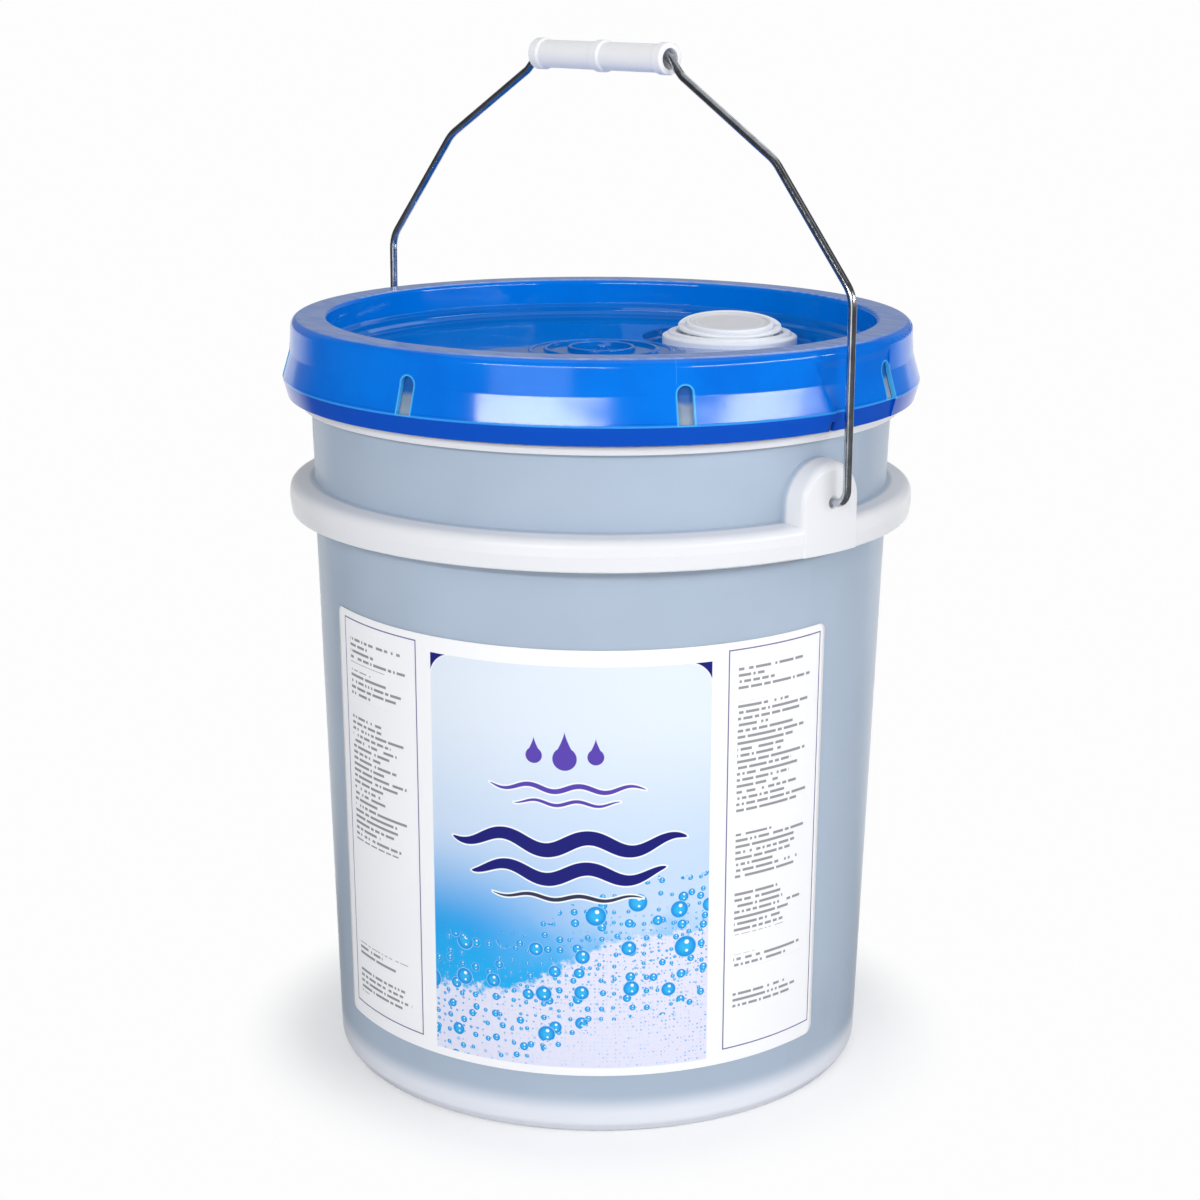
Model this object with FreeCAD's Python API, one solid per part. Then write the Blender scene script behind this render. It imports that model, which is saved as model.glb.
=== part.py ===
"""Five-gallon laundry detergent pail with a press-on lid, a pull-up spout and a wire bail.

Units are millimetres.  The origin is the middle of the pail's foot on the floor, +Z is up and
the line through the two bail ears is the X axis.  Every node is one closed solid in its place.
"""
import FreeCAD, Part
import os
from math import sin, cos, tan, atan, atan2, radians, degrees, hypot, sqrt

V = FreeCAD.Vector
os.makedirs("parts", exist_ok=True)

# Fits between bodies
SEAT = 0.10            # face to face of two bodies that stay together
RUN = 0.05             # radial play of a pin in its hole
AIR = 0.30             # clearance of neighbours that don't touch
LOOSE = 0.60           # clearance of the skirt round the pail's rim

# Pail
RIM_Z = 374.5          # height of the pail without its lid
BASE_R = 135.8         # outside radius of the wall carried down to the floor
DRAFT = 0.029          # growth of the radius with height
WALL = 2.3
NECK_IN = 0.6          # the wall above the collar is set in by this
FOOT_IN = 3.9          # the foot ring stands this far inside the wall
FOOT_T = 3.4           # thickness of the foot ring
FLOOR_UP = 12.0        # underside of the raised floor
FLOOR_T = 3.0

# Rim bead and the lip under the lid
BEAD_OUT = 5.4         # reach of the bead from the wall
BEAD_H = 14.0
LIP_DOWN = 33.5        # from the rim to the top of the lip
LIP_H = 4.8
LIP_OUT = 5.2

# Strengthening collar with ribs in its open underside
COLLAR_DOWN = 74.9     # from the rim to the top of the collar
COLLAR_H = 15.9
COLLAR_OUT = 12.7      # reach from the wall
COLLAR_T = 2.6
RIBS = 24
RIB_T = 2.0

# Bail ears, hollow and open below like the collar
EAR_UP = 8.4           # hinge line above the collar's top
EAR_R = 21.4           # half width where the ear leaves the wall
EAR_DRAFT = 2.8        # how much narrower its face is
EAR_T = 2.8
EAR_EDGE = 4.5

# Wire bail
WIRE_R = 2.0
LEG_OUT = 7.9          # from the ear's face to the middle of the wire leg
LEG_H = 96.5           # hinge line to the first bend
SHOULDER_X = 115.0     # second bend
SHOULDER_H = 153.8
BAIL_H = 197.4         # hinge line to the middle of the grip
HOOK_UP = 7.0          # end of the wire turned up inside the ear

# Grip
GRIP_L = 93.0
GRIP_R = 6.8
GRIP_BORE = 5.0
GRIP_RING = 0.95       # how far its three rings stand out

# Lid
LID_T = 2.2
SEAL_H = 3.1           # gasket in the top of the lid's channel
SEAL_W = 5.6
FLARE = 4.6            # the skirt's crease stands this far out of its upper wall
CREASE_UP = 9.3        # crease above the skirt's lower edge
SKIRT_IN = 2.5         # the lower edge lies this far inside the crease
FLARE_H = 12.9         # height of the flared band above the crease
TOP_W = 17.8           # width of the lid's flat top ring
WELL = 18.6            # depth of the recessed panel
STEP_UP = 5.0          # small ledge round the foot of the recess
STEP_IN = 2.6
RING_1 = 15.9          # middle radii of the raised rings on the panel
RING_2 = 27.9
RING_3 = 35.5

# Slots in the skirt, degrees from the ear line
SLOT_FIRST = -125.0
SLOT_SECOND = -77.9
SLOT_THIRD = -29.6
SLOT_FOURTH = 16.6
REAR_SLOTS = 4
SLOT_W = 7.4
SLOT_H = 17.3
NOTCH_W = 3.0          # cut in the lower edge where the skirt tears open
TEAR_DEEP = 0.8        # the skirt is this much lower from the tear line to the fourth slot
TEAR_AT = -2.5         # the tear line at half height, degrees from the ear line
TEAR_TILT = 24.0       # its slope from upright

# Spout closure, heights counted from the floor of its pocket
SPOUT_IN = 54.36       # from the recess wall to the spout's middle
SPOUT_ANGLE = 82.3     # degrees from the ear line
POCKET_R = 47.0
POCKET_H = 4.0
HOLE_R = 28.9          # hole in the lid
CURB_T = 2.1           # raised edge of the hole
CURB_H = 4.0
FLANGE_R = 35.0
FLANGE_H = 7.2
FLANGE_T = 1.0         # its thin inner wall
FOLD_T = 0.8           # film of the folded spout
FOLD_H = 14.4
NECK_R = 20.4
NECK_T = 1.8
NECK_H = 9.6
THREAD = 0.5
CAP_R = 22.75
CAP_T = 1.35
CAP_UP = 12.4          # top of the cap
CAP_SKIRT = 8.0
LINER_T = 1.0
PULL_W = 3.35          # width of the half rings
PULL_T = 1.8
PULL_DOWN = 1.9        # from the cap's top to the ring's top
PIN_R = 0.6
PIN_OFF = 4.4          # the rings' hinge lines lie this far from the cap's middle line
LEAN = 4.5             # the folded spout stands slightly crooked
LEAN_TO = -43.5        # towards here, degrees from the ear line
REAR_LIFT = 5.0        # the rear half ring stands up a little

# Label
LABEL_MID = -50.6      # degrees from the ear line
LABEL_W = 276.0
LABEL_LOW = 31.0
LABEL_H = 213.4
LABEL_T = 0.20
LABEL_CORNER = 4.0
GLUE = 0.32            # the sheet stands this far off the wall on its glue

# Liquid
FILL_DOWN = 34.5       # from the rim to the liquid's surface

# Sizes that follow
NECK_BASE = BASE_R - NECK_IN
FLOOR_Z = FLOOR_UP + FLOOR_T
LIP_Z = RIM_Z - LIP_DOWN
COLLAR_Z = RIM_Z - COLLAR_DOWN
COLLAR_LOW = COLLAR_Z - COLLAR_H
HINGE_Z = COLLAR_Z + EAR_UP
LID_Z = RIM_Z + SEAL_H + 2 * SEAT + LID_T
SKIRT_Z = LIP_Z + LOOSE
CREASE_Z = SKIRT_Z + CREASE_UP
PANEL_Z = LID_Z - WELL
POCKET_Z = PANEL_Z - POCKET_H
FILL_Z = RIM_Z - FILL_DOWN
GRIP_Z = HINGE_Z + BAIL_H


def body_r(z):
    """Outside radius of the wall below the collar."""
    return BASE_R + DRAFT * z


def neck_r(z):
    """Outside radius of the wall above the collar."""
    return NECK_BASE + DRAFT * z


COLLAR_R = neck_r(COLLAR_Z) + COLLAR_OUT
BEAD_R = neck_r(RIM_Z) + BEAD_OUT
LIP_R = neck_r(LIP_Z) + LIP_OUT
LEG_X = COLLAR_R + LEG_OUT
SKIRT_R = BEAD_R + LOOSE + LID_T      # outside of the skirt's upper wall
CREASE_R = SKIRT_R + FLARE
WELL_R = SKIRT_R - TOP_W
WELL_FOOT = WELL_R - STEP_IN - 0.7
SPOUT_DIST = WELL_R - SPOUT_IN        # from the lid's middle


# Rounded profiles

def corner_path(points):
    """Closed polyline of (a, b, radius) corners as lines and arcs: (start, arc middle, end)."""
    n = len(points)
    cuts = []
    for i in range(n):
        px, py, _ = points[i - 1]
        x, y, r = points[i]
        qx, qy, _ = points[(i + 1) % n]
        if r <= 0:
            cuts.append(((x, y), None, (x, y)))
            continue
        lu, lw = hypot(px - x, py - y), hypot(qx - x, qy - y)
        ux, uy = (px - x) / lu, (py - y) / lu
        wx, wy = (qx - x) / lw, (qy - y) / lw
        half = 0.5 * abs(atan2(ux * wy - uy * wx, ux * wx + uy * wy))
        reach = min(r / tan(half), 0.49 * lu, 0.49 * lw)
        r = reach * tan(half)
        size = hypot(ux + wx, uy + wy)
        bx, by = (ux + wx) / size, (uy + wy) / size
        middle = (x + bx * (r / sin(half) - r), y + by * (r / sin(half) - r))
        cuts.append(((x + ux * reach, y + uy * reach), middle, (x + wx * reach, y + wy * reach)))
    edges = []
    for i in range(n):
        start, middle, end = cuts[i]
        following = cuts[(i + 1) % n][0]
        if middle is not None:
            edges.append((start, middle, end))
        if hypot(following[0] - end[0], following[1] - end[1]) > 1e-6:
            edges.append((end, None, following))
    return edges


def profile_face(points, put):
    """Face bounded by the rounded polyline, each 2-D point placed in space by put(a, b)."""
    lines = []
    for start, middle, end in corner_path(points):
        if middle is None:
            lines.append(Part.LineSegment(put(*start), put(*end)).toShape())
        else:
            lines.append(Part.Arc(put(*start), put(*middle), put(*end)).toShape())
    return Part.Face(Part.Wire(lines))


def turned(points, angle=360.0, start=0.0):
    """Solid of revolution about the Z axis from (radius, z, corner radius) points."""
    c, s = cos(radians(start)), sin(radians(start))
    face = profile_face(points, lambda r, z: V(r * c, r * s, z))
    return face.revolve(V(0, 0, 0), V(0, 0, 1), angle)


def spin(shape, angle):
    """Copy of the shape turned about the Z axis."""
    copy = shape.copy()
    copy.rotate(V(0, 0, 0), V(0, 0, 1), angle)
    return copy


def save(name, shape):
    """Write one node: a single valid solid."""
    shape = shape.removeSplitter()
    if len(shape.Solids) != 1:
        raise ValueError("%s has %d solids" % (name, len(shape.Solids)))
    solid = shape.Solids[0]
    if not solid.isValid():
        raise ValueError(name + " is not valid")
    solid.exportStep("parts/" + name + ".step")
    print("%-16s %9.1f cm3" % (name, solid.Volume / 1000.0))


# Pail: tub, rim, lip, collar and ears are one moulding

def tub():
    """Drafted wall with a raised floor, a rounded foot ring, the rim bead and the lip below it."""
    foot = BASE_R - FOOT_IN
    return turned([
        (0, FLOOR_UP, 0),
        (foot - FOOT_T - 1.2, FLOOR_UP, 2.0),
        (foot - FOOT_T, 0, 1.0),
        (foot + 0.6, 0, 2.0),
        (body_r(5.0), 5.0, 4.5),
        (body_r(COLLAR_LOW + 6), COLLAR_LOW + 6, 0),
        (neck_r(COLLAR_Z), COLLAR_Z, 0),
        (neck_r(LIP_Z - LIP_H), LIP_Z - LIP_H, 0.6),
        (LIP_R - 0.7, LIP_Z - LIP_H, 0.8),
        (LIP_R, LIP_Z, 0.8),
        (neck_r(LIP_Z) + 0.4, LIP_Z, 1.0),
        (neck_r(RIM_Z - BEAD_H), RIM_Z - BEAD_H, 1.0),
        (BEAD_R - 0.5, RIM_Z - BEAD_H + 2.6, 1.4),
        (BEAD_R, RIM_Z - 4.0, 2.0),
        (BEAD_R - 3.0, RIM_Z, 2.2),
        (neck_r(RIM_Z) - WALL, RIM_Z, 1.2),
        (body_r(FLOOR_Z) - WALL, FLOOR_Z, 5.0),
        (0, FLOOR_Z, 0),
    ])


def collar_solid():
    middle = COLLAR_Z - 0.54 * COLLAR_H
    return turned([
        (neck_r(COLLAR_Z) - 1.0, COLLAR_Z + 1.0, 0),
        (neck_r(COLLAR_Z) + 1.2, COLLAR_Z, 1.0),
        (COLLAR_R - 0.6, COLLAR_Z - 1.4, 6.5),
        (COLLAR_R, middle, 3.0),
        (COLLAR_R - 0.9, COLLAR_LOW, 0.8),
        (body_r(COLLAR_LOW) - 1.0, COLLAR_LOW, 0),
    ])


def collar_channel():
    """Open space under the collar's web."""
    middle = COLLAR_Z - 0.54 * COLLAR_H
    inner = body_r(COLLAR_LOW) - 0.9
    return turned([
        (inner, COLLAR_LOW - 2, 0),
        (COLLAR_R - 0.9 - COLLAR_T, COLLAR_LOW - 2, 0),
        (COLLAR_R - 0.3 - COLLAR_T, middle, 2.0),
        (COLLAR_R - 0.9 - COLLAR_T, COLLAR_Z - 1.5 - COLLAR_T, 4.0),
        (inner, COLLAR_Z - 0.8 - COLLAR_T, 0),
    ])


def ear_form(face_x, base_r, face_r, edge, low):
    """Tombstone: a tapered round about the hinge line carried straight down past the collar."""
    root = neck_r(HINGE_Z) - 8.0
    side = [(root, base_r, 0), (face_x, face_r, edge)]
    half = profile_face([(root, 0, 0)] + side + [(face_x, 0, 0)], lambda x, y: V(x, y, HINGE_Z))
    head = half.revolve(V(0, 0, HINGE_Z), V(1, 0, 0), 360)
    plan = profile_face([(root, -base_r, 0)] + side + [(face_x, -face_r, edge)],
                        lambda x, y: V(x, y, HINGE_Z))
    return head.fuse(plan.extrude(V(0, 0, low - HINGE_Z)))


def pail():
    add = collar_solid()
    hollow = collar_channel()
    for side in (0, 180):
        ear = ear_form(COLLAR_R, EAR_R, EAR_R - EAR_DRAFT, EAR_EDGE, COLLAR_LOW + 0.3)
        ear = ear.common(Part.makeCylinder(COLLAR_R, 4 * EAR_R, V(0, 0, HINGE_Z - 2 * EAR_R)))
        room = ear_form(COLLAR_R - EAR_T, EAR_R - EAR_T - 0.2, EAR_R - EAR_DRAFT - EAR_T,
                        EAR_EDGE - 1.5, COLLAR_LOW - 3)
        add = add.fuse(spin(ear, side))
        hollow = hollow.fuse(spin(room, side))
    shell = add.cut(hollow)
    step = 360.0 / RIBS
    rib_in = body_r(COLLAR_LOW) - 1.5
    clear = degrees(EAR_R / COLLAR_R) + 1.0
    for k in range(RIBS):
        angle = (k + 0.5) * step
        if abs((angle + 90) % 180 - 90) < clear:
            continue
        rib = Part.makeBox(COLLAR_R - 0.75 * COLLAR_T - rib_in, RIB_T, COLLAR_H - 4.2,
                           V(rib_in, -RIB_T / 2, COLLAR_LOW + 1.2))
        shell = shell.fuse(spin(rib, angle))
    low, high = COLLAR_LOW - 10, HINGE_Z + EAR_R + 10
    inside = Part.makeCone(neck_r(low) - WALL / 2, neck_r(high) - WALL / 2, high - low, V(0, 0, low))
    body = tub().fuse(shell.cut(inside))
    for side in (0, 180):
        hole = Part.makeCylinder(WIRE_R + RUN, EAR_T + 4, V(COLLAR_R - EAR_T - 3, 0, HINGE_Z), V(1, 0, 0))
        mouth = Part.makeCone(WIRE_R + RUN, WIRE_R + 1.4, 1.2, V(COLLAR_R - 1.1, 0, HINGE_Z), V(1, 0, 0))
        body = body.cut(spin(hole.fuse(mouth), side))
    return body


# Lid with its slotted skirt, recessed panel and pocket for the spout

def spout_at(shape):
    """Move a shape from the spout's own frame to its place on the lid."""
    a = radians(SPOUT_ANGLE)
    copy = shape.copy()
    copy.translate(V(SPOUT_DIST * cos(a), SPOUT_DIST * sin(a), POCKET_Z))
    return copy


def lean(shape):
    """Tilt a shape of the spout's own frame by the lean of the folded spout."""
    a = radians(LEAN_TO)
    copy = shape.copy()
    copy.rotate(V(0, 0, CAP_UP / 2), V(-sin(a), cos(a), 0), LEAN)
    return copy


def lid_skin():
    """Turned shell of the lid: panel, ledge, inner wall, top ring and flared skirt."""
    flare_z = CREASE_Z + FLARE_H
    under = LID_Z - LID_T
    return turned([
        (0, PANEL_Z, 0),
        (WELL_FOOT - 2.0, PANEL_Z, 1.8),
        (WELL_FOOT, PANEL_Z + 1.8, 1.2),
        (WELL_FOOT + 0.4, PANEL_Z + STEP_UP - 0.8, 0.9),
        (WELL_R - 0.4, PANEL_Z + STEP_UP + 0.8, 0.9),
        (WELL_R, LID_Z, 2.2),
        (SKIRT_R, LID_Z, 4.6),
        (SKIRT_R + 0.8, flare_z, 5.0),
        (CREASE_R, CREASE_Z, 1.6),
        (CREASE_R - SKIRT_IN, SKIRT_Z, 0.5),
        (CREASE_R - SKIRT_IN - LID_T, SKIRT_Z, 0.3),
        (CREASE_R - LID_T, CREASE_Z, 1.2),
        (SKIRT_R + 0.8 - LID_T, flare_z - 0.2, 4.0),
        (SKIRT_R - LID_T, under, 2.6),
        (WELL_R + LID_T, under, 1.5),
        (WELL_R + LID_T - 0.4, PANEL_Z + STEP_UP - 0.4, 1.0),
        (WELL_FOOT + LID_T + 0.4, PANEL_Z + STEP_UP - 2.0, 1.0),
        (WELL_FOOT + LID_T, PANEL_Z - LID_T, 2.5),
        (0, PANEL_Z - LID_T, 0),
    ])


def raised_ring(radius, width, height):
    """Rounded ridge on the panel, or a small round nub where the radius is nought."""
    low, high = PANEL_Z - 0.5, PANEL_Z + height
    if radius == 0:
        return turned([(0, low, 0), (width, low, 0), (width - 0.4, high, 0.6), (0, high, 0)])
    half = width / 2
    return turned([(radius - half, low, 0), (radius + half, low, 0),
                   (radius + half - 0.4, high, 0.45 * half), (radius - half + 0.4, high, 0.45 * half)])


def tear_recess():
    """Thin layer taken off the flared skirt, from the slanted tear line to the fourth slot."""
    flare_z = CREASE_Z + FLARE_H
    start = 4 * TEAR_AT
    layer = turned([
        (SKIRT_R + 0.3, LID_Z - 6.0, 0),
        (SKIRT_R + 0.5 - TEAR_DEEP, LID_Z - 9.0, 3.0),
        (SKIRT_R + 0.8 - TEAR_DEEP, flare_z, 8.0),
        (CREASE_R - 1.5 * TEAR_DEEP, CREASE_Z + 0.8, 7.0),
        (CREASE_R - SKIRT_IN - TEAR_DEEP, SKIRT_Z - 1.0, 0),
        (CREASE_R + 4.0, SKIRT_Z - 1.0, 0),
        (CREASE_R + 4.0, LID_Z - 6.0, 0),
    ], SLOT_FOURTH + degrees(SLOT_W / 2 / CREASE_R) - start, start)
    keep = Part.makeBox(60, 80, 120, V(SKIRT_R - 30, -80, -60))
    keep.rotate(V(0, 0, 0), V(1, 0, 0), TEAR_TILT)
    keep.translate(V(0, 0, 0.5 * (SKIRT_Z + LID_Z)))
    return layer.cut(spin(keep, TEAR_AT))


def lid():
    skin = lid_skin().cut(tear_recess())
    front = (SLOT_FIRST, SLOT_SECOND, SLOT_THIRD, SLOT_FOURTH)
    gap = (360.0 + SLOT_FIRST - SLOT_FOURTH) / (REAR_SLOTS + 1)
    rear = tuple(SLOT_FOURTH + gap * (k + 1) for k in range(REAR_SLOTS))
    half = SLOT_W / 2
    deep = CREASE_R - BEAD_R + 6
    slot = Part.makeBox(deep, SLOT_W, SLOT_H - half, V(BEAD_R - 3, -half, CREASE_Z))
    slot = slot.fuse(Part.makeCylinder(half, deep, V(BEAD_R - 3, 0, CREASE_Z + SLOT_H - half), V(1, 0, 0)))
    for angle in front + rear:
        skin = skin.cut(spin(slot, angle))
    notch = Part.makeBox(deep, NOTCH_W, 0.55 * CREASE_UP, V(BEAD_R - 3, -NOTCH_W / 2, SKIRT_Z - 0.5))
    skin = skin.cut(spin(notch, -1.0))
    for radius, width, height in ((RING_3, 3.0, 0.6), (RING_2, 2.6, 1.5), (RING_1, 2.6, 2.2), (0, 2.8, 2.4)):
        skin = skin.fuse(raised_ring(radius, width, height))
    pocket = turned([(0, 0, 0), (POCKET_R - 3.0, 0, 1.5), (POCKET_R, POCKET_H + 5, 0), (0, POCKET_H + 5, 0)])
    top = POCKET_H - 1.0
    cup = turned([(0, -LID_T, 0), (POCKET_R - 3.0 + LID_T - 0.6, -LID_T, 3.0), (POCKET_R + LID_T - 1.6, top, 0),
                  (0, top, 0)])
    curb = turned([(HOLE_R, -1.0, 0), (HOLE_R + CURB_T, -1.0, 0), (HOLE_R + CURB_T, CURB_H, 0.4),
                   (HOLE_R, CURB_H, 0.4)])
    skin = skin.fuse(spout_at(cup)).cut(spout_at(pocket)).fuse(spout_at(curb))
    return skin.cut(spout_at(Part.makeCylinder(HOLE_R, 30, V(0, 0, -10))))


def gasket():
    """Soft ring between the pail's rim and the top of the lid's channel."""
    inner = neck_r(RIM_Z) - WALL + 0.2
    return turned([
        (inner, RIM_Z + SEAT, 0.6),
        (inner + SEAL_W, RIM_Z + SEAT, 0.6),
        (inner + SEAL_W, RIM_Z + SEAT + SEAL_H, 0.6),
        (inner, RIM_Z + SEAT + SEAL_H, 0.6),
    ])


# Spout closure, drawn in its own frame

THROAT_R = HOLE_R - SEAT - FLANGE_T    # inside of the flange
FOLD_R = THROAT_R - AIR                # outside of the folded film
NECK_TOP = CAP_UP - 0.6 - CAP_T - LINER_T - SEAT
PULL_R = CAP_R + 0.9                   # inside of the pull rings
PIN_UP = CAP_UP - PULL_DOWN - PULL_T / 2


def flange():
    """Clamp ring over the hole's raised edge, with the steps that show round the folded spout."""
    step = FLANGE_H - 1.3
    curb_out = HOLE_R + CURB_T + SEAT
    return turned([
        (FLANGE_R, SEAT, 0.3),
        (FLANGE_R, step - 0.9, 0.9),
        (FLANGE_R - 1.6, step, 0.5),
        (curb_out + 1.2, step, 0.4),
        (curb_out + 0.7, FLANGE_H, 0.6),
        (THROAT_R, FLANGE_H, 0.6),
        (THROAT_R, -LID_T - 1.2, 0.2),
        (THROAT_R + FLANGE_T, -LID_T - 1.2, 0.2),
        (THROAT_R + FLANGE_T, CURB_H + SEAT, 0),
        (curb_out, CURB_H + SEAT, 0),
        (curb_out, SEAT, 0),
    ])


def bellows():
    """Thin folded skirt between the flange and the pouring neck."""
    t = FOLD_T
    top = FLANGE_H - 1.6
    low = top - FOLD_H
    shoulder = NECK_H - 6.6
    inner = NECK_R + 1.8 + 2 * AIR
    fold = 0.5 * (FOLD_R + inner)
    return turned([
        (FOLD_R, top, 0.3),
        (FOLD_R, low, 1.1),
        (fold - 1.0, low, 1.1),
        (fold - 1.3, shoulder - t, 0.8),
        (inner, shoulder - t, 0.2),
        (inner, shoulder, 0.2),
        (fold - 0.5, shoulder, 1.0),
        (fold - 0.2, low + t, 0.7),
        (FOLD_R - t, low + t, 0.6),
        (FOLD_R - t, top, 0.3),
    ])


def neck():
    """Pouring tube with two thread ridges and the shoulder that the folded film hangs on."""
    r_in = NECK_R - NECK_T
    low = NECK_TOP - NECK_H
    shoulder = low + 2.3
    pts = [(r_in, low, 0.4), (NECK_R, low, 0.4), (NECK_R, shoulder, 0), (NECK_R + 1.8, shoulder, 0.2),
           (NECK_R + 1.8, shoulder + 1.1, 0.2), (NECK_R, shoulder + 1.1, 0)]
    for z in (shoulder + 3.0, shoulder + 5.4):
        pts += [(NECK_R, z, 0), (NECK_R + THREAD, z + 0.4, 0), (NECK_R + THREAD, z + 0.8, 0), (NECK_R, z + 1.2, 0)]
    pts += [(NECK_R, NECK_TOP, 0.4), (r_in, NECK_TOP, 0.4)]
    return turned(pts)


def liner():
    """Soft disc that seals the cap on the neck."""
    r = CAP_R - CAP_T - AIR
    low, high = NECK_TOP + SEAT / 2, NECK_TOP + LINER_T
    return turned([(0, low, 0), (r, low, 0.2), (r, high, 0.2), (0, high, 0)])


def cap():
    """Screw cap with a dished top and the four short pins that the pull rings swing on."""
    under = NECK_TOP + LINER_T + SEAT
    body = turned([
        (0, under, 0),
        (CAP_R - CAP_T, under, 0.3),
        (CAP_R - CAP_T, CAP_UP - CAP_SKIRT, 0.2),
        (CAP_R, CAP_UP - CAP_SKIRT, 0.4),
        (CAP_R, CAP_UP, 0.9),
        (CAP_R - 2.5, CAP_UP, 0.3),
        (CAP_R - 3.1, CAP_UP - 0.6, 0.3),
        (0, CAP_UP - 0.6, 0),
    ])
    start = sqrt(CAP_R ** 2 - PIN_OFF ** 2) - CAP_T / 2
    end = sqrt((PULL_R + PULL_W) ** 2 - PIN_OFF ** 2) - 0.4
    for way in (1, -1):
        for side in (1, -1):
            pin = Part.makeCylinder(PIN_R, end - start, V(way * start, side * PIN_OFF, PIN_UP), V(way, 0, 0))
            body = body.fuse(spin(pin, LEAN_TO + 90))
    return body


def pull_ring(side):
    """Half ring lying round the cap; its two ends turn on the cap's pins."""
    top = CAP_UP - PULL_DOWN
    outer = PULL_R + PULL_W
    ring = turned([(PULL_R, top - PULL_T, 0.3), (outer, top - PULL_T, 0.7), (outer, top, 0.7), (PULL_R, top, 0.3)])
    edge = PIN_OFF - 0.6 * PULL_T
    keep = Part.makeBox(4 * outer, 2 * outer, 20, V(-2 * outer, edge if side > 0 else -edge - 2 * outer, 0))
    ring = ring.common(keep)
    for way in (1, -1):
        bore = Part.makeCylinder(PIN_R + RUN, outer, V(0, side * PIN_OFF, PIN_UP), V(way, 0, 0))
        ring = ring.cut(bore)
    if side > 0:
        ring.rotate(V(0, PIN_OFF, PIN_UP), V(1, 0, 0), REAR_LIFT)
    return spin(ring, LEAN_TO + 90)


# Bail and grip

def bent_rod(points, radius):
    """Round rod along a polyline of (x, z, bend radius) points in the XZ plane."""
    edges = []
    last = V(points[0][0], 0, points[0][1])
    for i in range(1, len(points) - 1):
        x, z, bend = points[i]
        here = V(x, 0, z)
        back = V(points[i - 1][0], 0, points[i - 1][1]).sub(here).normalize()
        ahead = V(points[i + 1][0], 0, points[i + 1][1]).sub(here).normalize()
        half = back.getAngle(ahead) / 2
        reach = bend / tan(half)
        start = here.add(V(back).multiply(reach))
        end = here.add(V(ahead).multiply(reach))
        inward = back.add(ahead).normalize()
        middle = here.add(V(inward).multiply(bend / sin(half) - bend))
        edges.append(Part.LineSegment(last, start).toShape())
        edges.append(Part.Arc(start, middle, end).toShape())
        last = end
    edges.append(Part.LineSegment(last, V(points[-1][0], 0, points[-1][1])).toShape())
    first = edges[0]
    direction = first.tangentAt(first.FirstParameter)
    section = Part.Wire(Part.makeCircle(radius, first.Vertexes[0].Point, direction))
    return Part.Wire(edges).makePipeShell([section], True, True)


def bail():
    """Sprung wire handle: legs, two slopes a side and the run through the grip, ends hooked in."""
    top = GRIP_Z + GRIP_BORE - WIRE_R - RUN
    hook_x = COLLAR_R - EAR_T - WIRE_R - 2.4
    half = [
        (hook_x, HINGE_Z + HOOK_UP, 0),
        (hook_x, HINGE_Z, 1.7 * WIRE_R),
        (LEG_X, HINGE_Z, 3.5 * WIRE_R),
        (LEG_X, HINGE_Z + LEG_H, 16.0),
        (SHOULDER_X, HINGE_Z + SHOULDER_H, 22.0),
        (GRIP_L / 2 + 8.0, GRIP_Z - 8.1, 9.0),
        (GRIP_L / 2 - 3.0, top, 6.0),
    ]
    return bent_rod(half + [(-x, z, bend) for x, z, bend in reversed(half)], WIRE_R)


def grip():
    """Moulded tube with a wider ring at each end and in the middle."""
    end = GRIP_L / 2
    ring = GRIP_R + GRIP_RING
    stations = [(end, ring, 0.9), (end - 5.5, ring, 0.9), (end - 6.5, GRIP_R, 0.4),
                (3.4, GRIP_R, 0.4), (2.4, ring, 0.9)]
    pts = [(-x, r, f) for x, r, f in stations] + list(reversed(stations))
    pts += [(end, GRIP_BORE, 0.4), (-end, GRIP_BORE, 0.4)]
    face = profile_face(pts, lambda x, r: V(x, 0, GRIP_Z + r))
    return face.revolve(V(0, 0, GRIP_Z), V(1, 0, 0), 360)


# Label and liquid

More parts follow.
